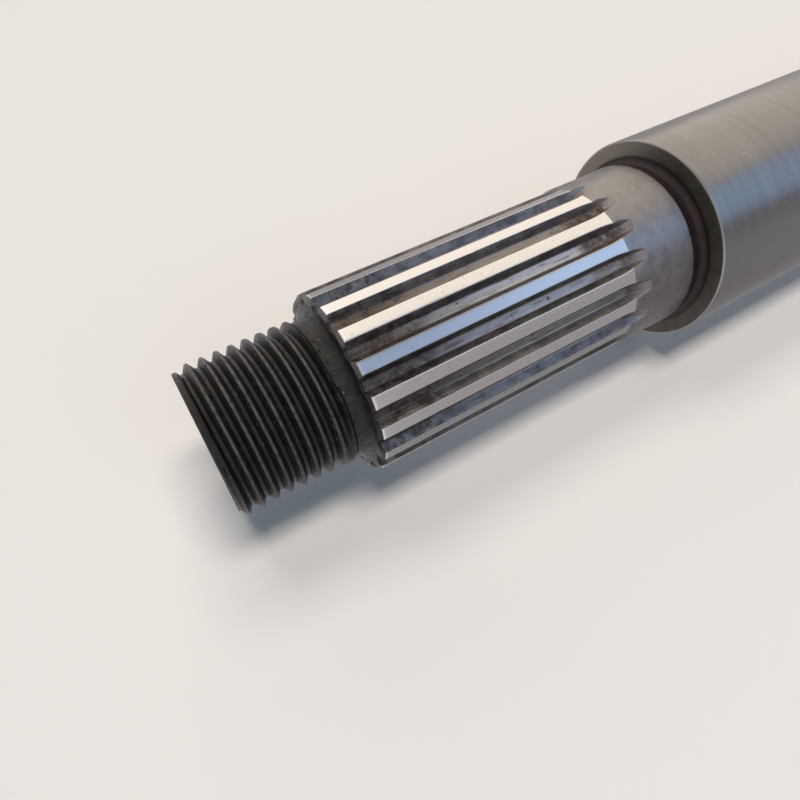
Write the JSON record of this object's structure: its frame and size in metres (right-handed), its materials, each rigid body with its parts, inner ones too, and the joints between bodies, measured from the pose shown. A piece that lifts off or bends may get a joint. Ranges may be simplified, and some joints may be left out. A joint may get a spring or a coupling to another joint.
{
  "type": "drive shaft",
  "caption": "Turned steel drive shaft: ground journal, relieved shoulder, neck, straight-sided spline and fine-threaded end for a retaining nut.",
  "frame": {"origin": "centre of the plain end face, on which the shaft stands", "axes": "+Z along the shaft's axis from the plain end to the threaded end; a groove of the spline is centred on +X"},
  "size_m": [0.025, 0.025, 0.18],
  "materials": {
    "ground_steel": "ground journal and tooth tops, dark oxide film on the thread and in the grooves"
  },
  "bodies": {
    "root": {"drive_shaft": "ground_steel"}
  },
  "joints": []
}
